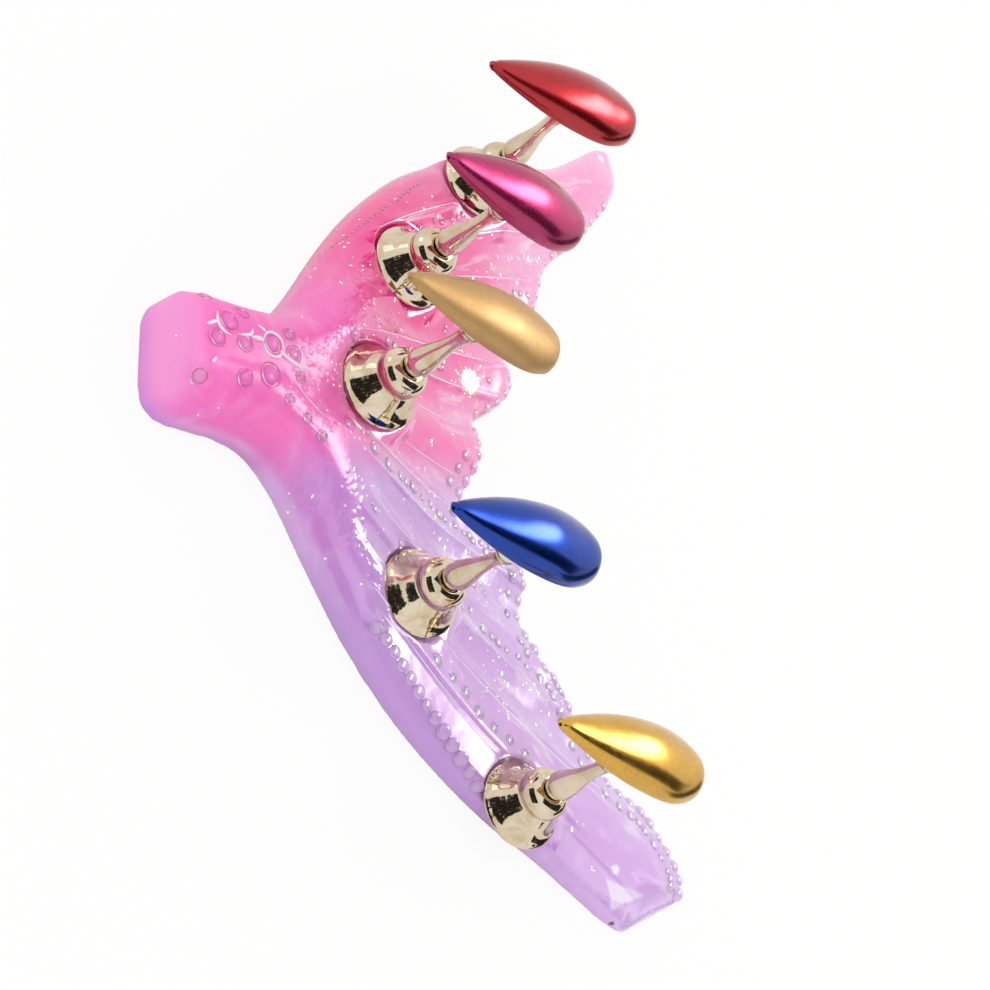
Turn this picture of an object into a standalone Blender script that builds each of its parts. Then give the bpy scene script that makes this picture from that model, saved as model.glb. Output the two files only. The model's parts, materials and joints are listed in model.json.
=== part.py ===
# Nail practice stand: a resin fish-tail base, five magnetic bells on it, and in each bell
# a stem that lifts out and holds a press-on nail tip on a pad of putty.
# Units are metres. +Z is up, +Y runs from the tail's root to its fork, and +X is the side
# of the lilac fluke. The origin is under the middle of the tail's outline, on the table.

import math

import bmesh
import bpy
from mathutils import Matrix, Vector
from mathutils.geometry import delaunay_2d_cdt

MM = 0.001

# fits
FIT_GAP = 0.3 * MM          # between pieces that touch or slot together
CUT_OVERRUN = 1.0 * MM      # how far a cutter runs past the face it opens
MERGE_DISTANCE = 0.01 * MM

# tail: outline
TAIL_HALF_SPAN = 76.0 * MM
TAIL_LENGTH = 118.0 * MM
OUTLINE_STEP = 2.4 * MM     # spacing of the outline's points
RELIEF_STEP = 2.9 * MM      # spacing of the points inside the outline

# tail: heights above the table
ROOT_HEIGHT = 13.5 * MM
SHOULDER_HEIGHT = 9.6 * MM
FLUKE_HEIGHT = 6.6 * MM
TIP_HEIGHT = 4.6 * MM
TRAILING_HEIGHT = 3.4 * MM
RIB_HEIGHT = 0.6 * MM

# tail: edges
SIDE_ROUND = 8.5 * MM
END_ROUND = 4.5 * MM
TRAILING_ROUND = 1.6 * MM
FIRST_INSET = 0.7 * MM
SECOND_INSET = 2.2 * MM
side_wall_share = 0.32
end_wall_share = 0.45
trailing_wall_share = 0.6
inset_keep_share = 0.9      # an inset point nearer the outline than this is left out

# The outline's points are shares of the half span and of the length.
# right_leading_shares runs from the middle of the root's end to the right tip.
right_leading_shares = [
    (0.000, 0.000), (0.085, 0.000), (0.145, 0.006), (0.170, 0.027), (0.172, 0.070),
    (0.167, 0.115), (0.179, 0.172), (0.247, 0.226), (0.375, 0.285), (0.541, 0.368),
    (0.689, 0.472), (0.816, 0.605), (0.896, 0.729), (0.983, 0.849), (1.000, 0.892),
]
# right_trailing_shares runs from the right tip to the fork.
right_trailing_shares = [
    (0.905, 0.996), (0.885, 1.000), (0.846, 0.998), (0.783, 0.974), (0.742, 0.954),
    (0.703, 0.927), (0.684, 0.898), (0.660, 0.862), (0.600, 0.815), (0.525, 0.779),
    (0.490, 0.762), (0.455, 0.746), (0.430, 0.717), (0.398, 0.706), (0.348, 0.684),
    (0.306, 0.684), (0.255, 0.689), (0.218, 0.678), (0.180, 0.622), (0.138, 0.566),
    (0.079, 0.577), (0.024, 0.593), (-0.024, 0.604), (-0.066, 0.606),
]
# left_trailing_shares runs from the fork to the left tip.
left_trailing_shares = [
    (0.094, 0.592), (0.130, 0.622), (0.165, 0.648), (0.229, 0.674), (0.283, 0.656),
    (0.350, 0.680), (0.461, 0.724), (0.521, 0.733), (0.595, 0.761), (0.682, 0.818),
    (0.751, 0.853), (0.814, 0.883), (0.864, 0.902), (0.921, 0.914),
]
# left_leading_shares runs from the left tip to the middle of the root's end.
left_leading_shares = [
    (0.971, 0.918), (0.995, 0.906), (0.988, 0.874), (0.944, 0.838), (0.862, 0.762),
    (0.810, 0.660), (0.735, 0.541), (0.655, 0.455), (0.560, 0.390), (0.465, 0.338),
    (0.355, 0.290), (0.225, 0.240), (0.140, 0.195), (0.115, 0.130), (0.108, 0.070),
    (0.100, 0.032), (0.078, 0.010), (0.040, 0.000),
]
root_corner_share = 0.012   # where the sides of the root begin, along the length

# tail: the ribs fan out from a point in the root and bend towards the trailing edge, and a
# rib's fan share is 0 on the middle line and about 1 along the leading edge
RIB_FOCUS_Y = 18.0 * MM
RIB_BEND = 1.75
rib_pitch_share = 0.255     # from one rib to the next, of the fan
rib_start_share = 0.12      # where the ribs rise, from leading edge (0) to trailing edge (1)
rib_full_share = 0.35

# stands: place on the tail as shares of the half span and the length, lean of the stand
# sideways and towards the fork, turn and pitch of its nail tip, all in degrees, and share of
# the nail's length from its pointed end to the disc that holds it
STANDS = [
    {"colour": "red", "place_shares": (-0.686, 0.582), "lean": (-6.4, -8.3),
     "turn": 1.5, "pitch": 2.5, "grip_share": 0.525},
    {"colour": "magenta", "place_shares": (-0.366, 0.424), "lean": (-1.4, -4.5),
     "turn": 0.5, "pitch": -4.0, "grip_share": 0.475},
    {"colour": "champagne", "place_shares": (-0.020, 0.347), "lean": (-2.1, -3.7),
     "turn": -0.5, "pitch": -4.0, "grip_share": 0.475},
    {"colour": "blue", "place_shares": (0.400, 0.447), "lean": (2.1, -7.5),
     "turn": 1.0, "pitch": -3.0, "grip_share": 0.470},
    {"colour": "gold", "place_shares": (0.796, 0.650), "lean": (-2.7, -6.5),
     "turn": -2.5, "pitch": -2.5, "grip_share": 0.460},
]
SEAT_SINK = 0.25 * MM       # how far a seat is cut below the tail's surface
SEAT_MARGIN = 0.5 * MM      # seat wider than the bell all round
SEAT_CUT_HEIGHT = 12.0 * MM

# magnets
TAIL_MAGNET_RADIUS = 3.0 * MM
TAIL_MAGNET_HEIGHT = 1.4 * MM
BELL_MAGNET_RADIUS = 3.0 * MM
BELL_MAGNET_HEIGHT = 2.0 * MM
SOCKET_MAGNET_RADIUS = 1.2 * MM
SOCKET_MAGNET_HEIGHT = 1.5 * MM

# bell
BELL_RADIUS = 7.5 * MM
BELL_RIM_HEIGHT = 0.6 * MM
BELL_SKIRT_RADIUS = 5.4 * MM
BELL_SKIRT_HEIGHT = 3.2 * MM
BELL_WAIST_RADIUS = 4.4 * MM
BELL_WAIST_HEIGHT = 4.9 * MM
BELL_DOME_RADIUS = 4.3 * MM
BELL_DOME_HEIGHT = 6.6 * MM
DOME_BULGE = 0.3 * MM
BELL_TOP_RADIUS = 2.7 * MM
BELL_HEIGHT = 9.1 * MM
SPIGOT_LENGTH = 2.6 * MM
SPIGOT_RADIUS = 1.2 * MM

# stem, heights measured from the underside of the bell
COLLAR_RADIUS = 1.85 * MM
COLLAR_HEIGHT = 1.1 * MM
GROOVE_RADIUS = 1.45 * MM
GROOVE_HEIGHT = 0.4 * MM
FLARE_RADIUS = 2.5 * MM
FLARE_HEIGHT = 12.3 * MM
STEM_WAIST_RADIUS = 1.2 * MM
STEM_WAIST_HEIGHT = 19.0 * MM
DISC_RADIUS = 1.9 * MM
DISC_THICKNESS = 0.6 * MM
STAND_HEIGHT = 24.0 * MM
flare_round_share = 0.25    # how far the stem's curves have gone a quarter of the way along
stem_taper_share = 0.6      # where the stem has nearly narrowed to its waist
disc_neck_share = 0.3       # how far the neck under the disc has spread

# nail tip
NAIL_LENGTH = 31.0 * MM
NAIL_WIDTH = 13.3 * MM
NAIL_ARCH = 4.6 * MM
NAIL_WALL = 0.6 * MM
NAIL_LIFT = 2.2 * MM        # edge of the nail above the disc
NAIL_SIDE_OFFSET = 2.2 * MM
NAIL_ROW_BIAS = 1.15        # above 1, the rows crowd towards the cuticle end
# along the nail from its pointed end: share of length, of width and of arch
nail_profile_shares = [
    (0.000, 0.090, 0.16), (0.040, 0.180, 0.24), (0.150, 0.380, 0.46), (0.300, 0.610, 0.72),
    (0.450, 0.810, 0.91), (0.600, 0.940, 1.00), (0.720, 1.000, 0.99), (0.820, 0.970, 0.95),
    (0.900, 0.850, 0.86), (0.960, 0.630, 0.74), (1.000, 0.300, 0.60),
]

# putty pad
PUTTY_FOOT_RADIUS = 1.6 * MM
PUTTY_BELLY_RADIUS = 2.1 * MM
PUTTY_TOP_RADIUS = 0.8 * MM
putty_height_share = 0.86    # of the height from the disc to the inside of the arch
putty_belly_share = 0.35
putty_shoulder_share = 0.85

SHARP_DEG = 50.0            # a sharper edge of the tail isn't shaded smooth
BELL_SIDES = 26
STEM_SIDES = 16
MAGNET_SIDES = 16
CUTTER_SIDES = 32
NAIL_ROWS = 13
NAIL_COLUMNS = 8

NAIL_COLOURS = {
    "red": (0.48, 0.02, 0.03), "magenta": (0.50, 0.03, 0.16), "champagne": (0.62, 0.42, 0.15),
    "blue": (0.02, 0.05, 0.42), "gold": (0.72, 0.45, 0.05),
}


# scene and collections
for old_object in list(bpy.data.objects):
    bpy.data.objects.remove(old_object, do_unlink=True)


def new_collection(name):
    collection = bpy.data.collections.new(name)
    bpy.context.scene.collection.children.link(collection)
    return collection


parts = new_collection("nail_practice_stand")
cutters = new_collection("cutters")


def principled(name, colour, roughness, metallic=0.0, transmission=0.0):
    material = bpy.data.materials.new(name)
    material.use_nodes = True
    shader = material.node_tree.nodes["Principled BSDF"]
    shader.inputs["Base Color"].default_value = (*colour, 1.0)
    shader.inputs["Roughness"].default_value = roughness
    shader.inputs["Metallic"].default_value = metallic
    shader.inputs["Transmission Weight"].default_value = transmission
    return material


resin = principled("pink_lilac_resin", (0.80, 0.38, 0.72), 0.12, transmission=0.25)
plated = principled("champagne_plating", (0.83, 0.72, 0.58), 0.10, 1.0)
magnet_nickel = principled("magnet_nickel", (0.55, 0.55, 0.57), 0.25, 1.0)
putty_clear = principled("clear_putty", (0.85, 0.82, 0.76), 0.45, transmission=0.3)
nail_finish = {name: principled("nail_" + name, colour, 0.22, 0.9)
               for name, colour in NAIL_COLOURS.items()}


def new_object(name, mesh, material, collection=parts):
    item = bpy.data.objects.new(name, mesh)
    collection.objects.link(item)
    if material:
        mesh.materials.append(material)
    return item


# A turned solid: the profile is (radius, height) points, up the outside from the lower end on
# the axis to the upper one.
def turned(name, profile, sides, material):
    mesh = bpy.data.meshes.new(name)
    wire = bmesh.new()
    points = [wire.verts.new((radius, 0, height)) for radius, height in reversed(profile)]
    for lower, upper in zip(points, points[1:]):
        wire.edges.new((lower, upper))
    wire.to_mesh(mesh)
    wire.free()
    item = new_object(name, mesh, material)
    screw = item.modifiers.new("turn", "SCREW")
    screw.axis = "Z"
    screw.angle = math.tau
    screw.steps = sides
    screw.render_steps = sides
    screw.use_merge_vertices = True
    screw.merge_threshold = MERGE_DISTANCE
    screw.use_smooth_shade = True
    return item


# Points at an even spacing along a smooth curve through hand-placed points.
def smooth_line(points, step):
    ends = [points[0] * 2 - points[1], *points, points[-1] * 2 - points[-2]]
    line = []
    for before, start, end, after in zip(ends, ends[1:], ends[2:], ends[3:]):
        count = max(1, round((end - start).length / step))
        for index in range(count):
            t = index / count
            line.append(0.5 * (2 * start + (end - before) * t
                               + (2 * before - 5 * start + 4 * end - after) * t ** 2
                               + (3 * start - before - 3 * end + after) * t ** 3))
    line.append(points[-1])
    return line


def on_tail(share, side=1):
    return Vector((side * share[0] * TAIL_HALF_SPAN, share[1] * TAIL_LENGTH))


right_leading = smooth_line([on_tail(share) for share in right_leading_shares], OUTLINE_STEP)
right_trailing = smooth_line([on_tail(share) for share in right_trailing_shares], OUTLINE_STEP)
left_trailing = smooth_line([on_tail(share, -1) for share in left_trailing_shares], OUTLINE_STEP)
left_leading = smooth_line([on_tail(share, -1) for share in left_leading_shares], OUTLINE_STEP)
outline = right_leading + right_trailing + left_trailing + left_leading

# The origin goes under the middle of the outline.
middle = Vector(((min(p.x for p in outline) + max(p.x for p in outline)) / 2,
                 (min(p.y for p in outline) + max(p.y for p in outline)) / 2))
to_origin = Matrix.Translation((-middle.x, -middle.y, 0))


def distance_to(line, point):
    nearest = math.inf
    for start, end in zip(line, line[1:]):
        along = end - start
        share = max(0.0, min(1.0, (point - start).dot(along) / along.length_squared))
        nearest = min(nearest, (start + along * share - point).length)
    return nearest


def ease(value):
    value = max(0.0, min(1.0, value))
    return value * value * (3 - 2 * value)


def between(table, value):
    for (low, low_height), (high, high_height) in zip(table, table[1:]):
        if value <= high:
            return low_height + (high_height - low_height) * ease((value - low) / (high - low))
    return table[-1][1]


# height of the thick leading part of the tail, by share of the half span
leading_height_shares = [(0.0, ROOT_HEIGHT), (0.12, ROOT_HEIGHT), (0.36, SHOULDER_HEIGHT),
                         (0.68, FLUKE_HEIGHT), (1.0, TIP_HEIGHT)]


def rounded(distance, radius, wall_share):
    inward = 1 - max(0.0, min(1.0, distance / radius))
    return wall_share + (1 - wall_share) * math.sqrt(1 - inward * inward)


# The sides of the root and the leading edges are one line on each side, without the root's end.
right_side = [p for p in right_leading if p.y > root_corner_share * TAIL_LENGTH]
left_side = [p for p in left_leading if p.y > root_corner_share * TAIL_LENGTH]
trailing_line = [right_leading[-1]] + right_trailing + left_trailing + [left_leading[0]]


def fan_share(point):
    beyond_focus = max(MERGE_DISTANCE, point.y - RIB_FOCUS_Y) / TAIL_HALF_SPAN
    return abs(point.x) / TAIL_HALF_SPAN / beyond_focus ** (1 / RIB_BEND)


def tail_height(point):
    side = min(distance_to(right_side, point), distance_to(left_side, point))
    back = distance_to(trailing_line, point)
    across = side / (side + back + MERGE_DISTANCE)
    leading = between(leading_height_shares, abs(point.x) / TAIL_HALF_SPAN)
    height = leading + (TRAILING_HEIGHT - leading) * ease(across)
    rise = ease((across - rib_start_share) / (rib_full_share - rib_start_share))
    height += RIB_HEIGHT * rise * math.cos(math.tau * fan_share(point) / rib_pitch_share)
    height *= rounded(side, SIDE_ROUND, side_wall_share)
    height *= rounded(point.y, END_ROUND, end_wall_share)
    return height * rounded(back, TRAILING_ROUND, trailing_wall_share)


# The tail is a relief: its outline, two insets of it and a grid of inner points are joined
# into triangles, each point is raised to the tail's height, and the sides drop to the table.
def inset_line(line, inset):
    moved = []
    for index, point in enumerate(line):
        along = line[(index + 1) % len(line)] - line[index - 1]
        inward = Vector((-along.y, along.x)).normalized()
        candidate = point + inward * inset
        if distance_to(line + line[:1], candidate) > inset * inset_keep_share:
            moved.append(candidate)
    return moved


def inside(line, point):
    crossing = False
    for start, end in zip(line, line[1:] + line[:1]):
        if (start.y > point.y) != (end.y > point.y):
            if point.x < start.x + (end.x - start.x) * (point.y - start.y) / (end.y - start.y):
                crossing = not crossing
    return crossing


def make_tail():
    inner = inset_line(outline, FIRST_INSET) + inset_line(outline, SECOND_INSET)
    row_height = RELIEF_STEP * math.sqrt(3) / 2
    for row in range(int(TAIL_LENGTH / row_height)):
        y = row * row_height
        for column in range(int(2 * TAIL_HALF_SPAN / RELIEF_STEP) + 1):
            x = (column + (row % 2) / 2) * RELIEF_STEP - TAIL_HALF_SPAN
            point = Vector((x, y))
            if inside(outline, point):
                if distance_to(outline + outline[:1], point) > SECOND_INSET + RELIEF_STEP / 2:
                    inner.append(point)
    ring = range(len(outline))
    edges = [(index, (index + 1) % len(outline)) for index in ring]
    points, _, triangles, _, _, _ = delaunay_2d_cdt(outline + inner, edges, [list(ring)], 1,
                                                    MERGE_DISTANCE)
    body = bmesh.new()
    upper = [body.verts.new((p.x, p.y, tail_height(p))) for p in points]
    for triangle in triangles:
        body.faces.new([upper[index] for index in triangle])
    rim = [edge for edge in body.edges if edge.is_boundary]
    skirt = bmesh.ops.extrude_edge_only(body, edges=rim)["geom"]
    for vertex in (item for item in skirt if isinstance(item, bmesh.types.BMVert)):
        vertex.co.z = 0
    bmesh.ops.holes_fill(body, edges=[edge for edge in body.edges if edge.is_boundary], sides=0)
    bmesh.ops.recalc_face_normals(body, faces=body.faces)
    mesh = bpy.data.meshes.new("tail_base")
    body.to_mesh(mesh)
    body.free()
    tail = new_object("tail_base", mesh, resin)
    tail.matrix_world = to_origin
    mesh.shade_smooth()
    mesh.set_sharp_from_angle(angle=math.radians(SHARP_DEG))
    return tail


# A stand's own frame: origin on its seat, +Z up the stand, +Y towards the fork.
def stand_frame(stand):
    seat = on_tail(stand["place_shares"])
    height = tail_height(seat) - SEAT_SINK
    lean_x, lean_y = (math.sin(math.radians(angle)) for angle in stand["lean"])
    up = Vector((lean_x, lean_y, math.sqrt(1 - lean_x ** 2 - lean_y ** 2)))
    side = Vector((0, 1, 0)).cross(up).normalized()
    turn = Matrix((side, up.cross(side), up)).transposed().to_4x4()
    return to_origin @ Matrix.Translation((seat.x, seat.y, height)) @ turn


def add_cutter(name, frame, radius, low, high):
    shape = bmesh.new()
    bmesh.ops.create_cone(shape, cap_ends=True, segments=CUTTER_SIDES, radius1=radius,
                          radius2=radius, depth=high - low,
                          matrix=Matrix.Translation((0, 0, (low + high) / 2)))
    mesh = bpy.data.meshes.new(name)
    shape.to_mesh(mesh)
    shape.free()
    cutter = new_object(name, mesh, None, cutters)
    cutter.matrix_world = frame
    cutter.hide_render = True
    cutter.display_type = "WIRE"
    return cutter


def cut(item, cutter):
    boolean = item.modifiers.new("cut_" + cutter.name, "BOOLEAN")
    boolean.operation = "DIFFERENCE"
    boolean.object = cutter


def magnet(name, radius, height, frame):
    disc = turned(name, [(0, 0), (radius, 0), (radius, height), (0, height)],
                  MAGNET_SIDES, magnet_nickel)
    disc.matrix_world = frame


def make_bell(name, frame):
    pocket_radius = BELL_MAGNET_RADIUS + FIT_GAP
    pocket_height = BELL_MAGNET_HEIGHT + 2 * FIT_GAP
    socket_radius = SPIGOT_RADIUS + FIT_GAP
    socket_floor = BELL_HEIGHT - SPIGOT_LENGTH - SOCKET_MAGNET_HEIGHT - 3 * FIT_GAP
    profile = [
        (0, pocket_height), (pocket_radius, pocket_height), (pocket_radius, 0),
        (BELL_RADIUS - BELL_RIM_HEIGHT / 2, 0), (BELL_RADIUS, BELL_RIM_HEIGHT / 2),
        (BELL_RADIUS, BELL_RIM_HEIGHT),
        ((BELL_RADIUS + BELL_SKIRT_RADIUS) / 2, (BELL_RIM_HEIGHT + BELL_SKIRT_HEIGHT) / 2),
        (BELL_SKIRT_RADIUS, BELL_SKIRT_HEIGHT), (BELL_WAIST_RADIUS, BELL_WAIST_HEIGHT),
        (BELL_DOME_RADIUS, BELL_DOME_HEIGHT),
        ((BELL_DOME_RADIUS + BELL_TOP_RADIUS) / 2 + DOME_BULGE,
         (BELL_DOME_HEIGHT + BELL_HEIGHT) / 2),
        (BELL_TOP_RADIUS, BELL_HEIGHT), (socket_radius, BELL_HEIGHT),
        (socket_radius, socket_floor), (0, socket_floor),
    ]
    bell = turned(name, profile, BELL_SIDES, plated)
    bell.matrix_world = frame
    return socket_floor


def make_stem(name, frame):
    spigot_foot = BELL_HEIGHT - SPIGOT_LENGTH
    collar_foot = BELL_HEIGHT + FIT_GAP
    collar_top = collar_foot + COLLAR_HEIGHT
    groove_top = collar_top + GROOVE_HEIGHT
    disc_edge = STAND_HEIGHT - DISC_THICKNESS
    rise = FLARE_HEIGHT - groove_top
    fall = STEM_WAIST_HEIGHT - FLARE_HEIGHT
    taper = FLARE_RADIUS - STEM_WAIST_RADIUS
    spread = DISC_RADIUS - STEM_WAIST_RADIUS
    profile = [
        (0, spigot_foot), (SPIGOT_RADIUS, spigot_foot), (SPIGOT_RADIUS, collar_foot),
        (COLLAR_RADIUS, collar_foot), (COLLAR_RADIUS, collar_top), (GROOVE_RADIUS, collar_top),
        (GROOVE_RADIUS, groove_top),
        (FLARE_RADIUS - taper * flare_round_share, groove_top + rise * flare_round_share),
        (FLARE_RADIUS, FLARE_HEIGHT),
        (FLARE_RADIUS - taper * flare_round_share, FLARE_HEIGHT + fall * flare_round_share),
        (STEM_WAIST_RADIUS + taper * flare_round_share, FLARE_HEIGHT + fall * stem_taper_share),
        (STEM_WAIST_RADIUS, STEM_WAIST_HEIGHT),
        (STEM_WAIST_RADIUS + spread * disc_neck_share, disc_edge - spread),
        (DISC_RADIUS, disc_edge), (DISC_RADIUS, STAND_HEIGHT), (0, STAND_HEIGHT),
    ]
    stem = turned(name, profile, STEM_SIDES, plated)
    stem.matrix_world = frame


# The nail lies level over its disc: its frame has +Y from the pointed end to the cuticle end.
def nail_frame(frame, stand):
    disc = frame @ Vector((0, 0, FIT_GAP + STAND_HEIGHT))
    turn = Matrix.Rotation(math.radians(stand["turn"]), 4, "Z")
    pitch = Matrix.Rotation(math.radians(stand["pitch"]), 4, "X")
    return Matrix.Translation(disc + Vector((0, 0, NAIL_LIFT))) @ turn @ pitch


def nail_section(share):
    points = [Vector(row) for row in nail_profile_shares]
    for low, high in zip(points, points[1:]):
        if share <= high.x:
            blend = (share - low.x) / (high.x - low.x)
            return low.lerp(high, blend)
    return points[-1]


def make_nail(name, frame, stand, material):
    shell = bmesh.new()
    grid = []
    for row in range(NAIL_ROWS + 1):
        section = nail_section(1 - (1 - row / NAIL_ROWS) ** NAIL_ROW_BIAS)
        half_width = section.y * NAIL_WIDTH / 2
        arch = section.z * NAIL_ARCH
        line = []
        for column in range(NAIL_COLUMNS + 1):
            angle = math.pi * column / NAIL_COLUMNS
            line.append(shell.verts.new((
                -half_width * math.cos(angle) - NAIL_SIDE_OFFSET,
                (section.x - stand["grip_share"]) * NAIL_LENGTH,
                arch * math.sin(angle))))
        grid.append(line)
    for lower, upper in zip(grid, grid[1:]):
        for column in range(NAIL_COLUMNS):
            shell.faces.new((lower[column], lower[column + 1],
                             upper[column + 1], upper[column]))
    bmesh.ops.recalc_face_normals(shell, faces=shell.faces)
    mesh = bpy.data.meshes.new(name)
    shell.to_mesh(mesh)
    shell.free()
    nail = new_object(name, mesh, material)
    nail.matrix_world = frame
    mesh.shade_smooth()
    wall = nail.modifiers.new("wall", "SOLIDIFY")
    wall.thickness = NAIL_WALL
    wall.offset = -1
    return nail


def make_putty(name, frame):
    height = (NAIL_LIFT + NAIL_ARCH - NAIL_WALL) * putty_height_share - 2 * FIT_GAP
    profile = [(0, 0), (PUTTY_FOOT_RADIUS, 0), (PUTTY_BELLY_RADIUS, height * putty_belly_share),
               (PUTTY_TOP_RADIUS, height * putty_shoulder_share), (0, height)]
    putty = turned(name, profile, MAGNET_SIDES, putty_clear)
    putty.matrix_world = frame


tail_base = make_tail()
for number, stand in enumerate(STANDS, start=1):
    seat_frame = stand_frame(stand)
    seat_cutter = add_cutter("seat_cutter_%d" % number, seat_frame, BELL_RADIUS + SEAT_MARGIN,
                             0, SEAT_CUT_HEIGHT)
    pocket_depth = TAIL_MAGNET_HEIGHT + 2 * FIT_GAP
    pocket_cutter = add_cutter("pocket_cutter_%d" % number, seat_frame,
                               TAIL_MAGNET_RADIUS + FIT_GAP, -pocket_depth, CUT_OVERRUN)
    cut(tail_base, seat_cutter)
    cut(tail_base, pocket_cutter)
    bell_frame = seat_frame @ Matrix.Translation((0, 0, FIT_GAP))
    magnet("tail_magnet_%d" % number, TAIL_MAGNET_RADIUS, TAIL_MAGNET_HEIGHT,
           seat_frame @ Matrix.Translation((0, 0, FIT_GAP - pocket_depth)))
    magnet("bell_magnet_%d" % number, BELL_MAGNET_RADIUS, BELL_MAGNET_HEIGHT,
           bell_frame @ Matrix.Translation((0, 0, FIT_GAP)))
    socket_floor = make_bell("bell_base_%d" % number, bell_frame)
    magnet("socket_magnet_%d" % number, SOCKET_MAGNET_RADIUS, SOCKET_MAGNET_HEIGHT,
           bell_frame @ Matrix.Translation((0, 0, socket_floor + FIT_GAP)))
    make_stem("stem_%d" % number, bell_frame)
    make_putty("putty_%d" % number,
               bell_frame @ Matrix.Translation((0, 0, STAND_HEIGHT + FIT_GAP)))
    make_nail("nail_tip_%d" % number, nail_frame(seat_frame, stand), stand,
              nail_finish[stand["colour"]])
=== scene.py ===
# Nail practice stand: a cast resin fish tail, five plated bells on it and, on a plated stem
# in each bell, a lacquered nail tip. Lengths are metres, mm is one millimetre.

import json
import math
import random

import bpy
import numpy as np
from mathutils import Matrix, Vector, noise
from mathutils.bvhtree import BVHTree


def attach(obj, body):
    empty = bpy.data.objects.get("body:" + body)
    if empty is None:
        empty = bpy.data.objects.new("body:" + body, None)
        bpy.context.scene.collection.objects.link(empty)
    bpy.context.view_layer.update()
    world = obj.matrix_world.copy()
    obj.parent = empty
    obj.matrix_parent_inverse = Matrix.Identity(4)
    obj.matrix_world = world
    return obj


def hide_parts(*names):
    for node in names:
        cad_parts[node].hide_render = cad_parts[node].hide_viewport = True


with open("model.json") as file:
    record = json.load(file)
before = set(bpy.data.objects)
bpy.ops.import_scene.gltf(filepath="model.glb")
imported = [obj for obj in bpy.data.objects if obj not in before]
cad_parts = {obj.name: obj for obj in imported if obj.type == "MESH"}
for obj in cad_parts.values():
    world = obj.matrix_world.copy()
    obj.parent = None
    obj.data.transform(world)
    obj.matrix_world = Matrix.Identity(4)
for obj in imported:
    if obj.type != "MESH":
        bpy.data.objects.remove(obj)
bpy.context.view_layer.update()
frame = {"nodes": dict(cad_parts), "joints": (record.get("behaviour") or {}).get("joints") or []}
mm = 0.001
print("frame loaded,", len(frame["nodes"]), "nodes")


# helpers for modelling

def deselectAll():
    if bpy.context.object and bpy.context.object.mode != "OBJECT":
        bpy.ops.object.mode_set(mode="OBJECT")
    bpy.ops.object.select_all(action="DESELECT")


def makeActive(piece):
    deselectAll()
    piece.select_set(True)
    bpy.context.view_layer.objects.active = piece


def copyPiece(piece, name):
    copied = piece.copy()
    copied.data = piece.data.copy()
    copied.name = name
    copied.parent = None
    bpy.context.scene.collection.objects.link(copied)
    return copied


def joinPieces(pieces, name):
    deselectAll()
    for piece in pieces:
        piece.select_set(True)
    bpy.context.view_layer.objects.active = pieces[0]
    bpy.ops.object.join()
    joined = bpy.context.object
    joined.name = name
    return joined


def placeMesh(piece, matrix):
    piece.data.transform(matrix)
    piece.data.update()


def editWhole():
    bpy.ops.object.mode_set(mode="EDIT")
    bpy.ops.mesh.select_all(action="SELECT")


# The last step in edit mode: all faces look outwards.
def faceOutward():
    bpy.ops.mesh.select_all(action="SELECT")
    bpy.ops.mesh.normals_make_consistent(inside=False)
    bpy.ops.object.mode_set(mode="OBJECT")


def applyModifiers(piece):
    makeActive(piece)
    for modifier in list(piece.modifiers):
        bpy.ops.object.modifier_apply(modifier=modifier.name)


def dress(piece, material, body, slotName, *nodes):
    piece.data.materials.clear()
    piece.data.materials.append(material)
    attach(piece, body)
    if nodes:
        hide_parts(*nodes)


def meshPoints(piece):
    values = np.empty(len(piece.data.vertices) * 3)
    piece.data.vertices.foreach_get("co", values)
    return values.reshape(-1, 3)


def setMeshPoints(piece, points):
    piece.data.vertices.foreach_set("co", points.ravel())
    piece.data.update()


def inMetres(points):
    return [(first * mm, second * mm) for first, second in points]


# A smooth line through given points; a point given twice stays a corner.
def throughPoints(points, steps):
    line = []
    last = len(points) - 1
    for index in range(last):
        start, end = points[index], points[index + 1]
        if start == end:
            continue
        before = points[index - 1] if index > 0 else start
        after = points[index + 2] if index + 2 <= last else end
        for step in range(steps):
            t = step / steps
            line.append(tuple(
                0.5 * (2 * b + (c - a) * t + (2 * a - 5 * b + 4 * c - d) * t * t
                       + (3 * b - a - 3 * c + d) * t ** 3)
                for a, b, c, d in zip(before, start, end, after)))
    line.append(points[-1])
    return line


# A turned piece is extruded ring by ring from a round face; a ring is a radius and a height.
def turnPiece(name, rings, sides):
    deselectAll()
    bpy.ops.mesh.primitive_circle_add(vertices=sides, radius=rings[0][0], fill_type="NGON",
                                      location=(0, 0, rings[0][1]))
    piece = bpy.context.object
    piece.name = name
    bpy.ops.object.transform_apply(location=True, rotation=True, scale=True)
    bpy.ops.object.mode_set(mode="EDIT")
    bpy.ops.mesh.select_mode(type="FACE")
    bpy.ops.mesh.select_all(action="SELECT")
    for (radius, height), (nextRadius, nextHeight) in zip(rings, rings[1:]):
        bpy.ops.mesh.extrude_region_move(
            TRANSFORM_OT_translate={"value": (0, 0, nextHeight - height)})
        wider = nextRadius / radius
        bpy.ops.transform.resize(value=(wider, wider, 1), center_override=(0, 0, nextHeight))
    bpy.ops.mesh.select_all(action="SELECT")
    bpy.ops.mesh.remove_doubles(threshold=0.001 * mm)
    faceOutward()
    bpy.ops.object.shade_smooth_by_angle(angle=math.radians(38))
    return piece


# helpers for materials; a socket and a node know the tree they are in

def fromHex(code):
    values = [int(code[i:i + 2], 16) / 255 for i in (0, 2, 4)]
    return tuple(v / 12.92 if v <= 0.04045 else ((v + 0.055) / 1.055) ** 2.4 for v in values)


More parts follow.
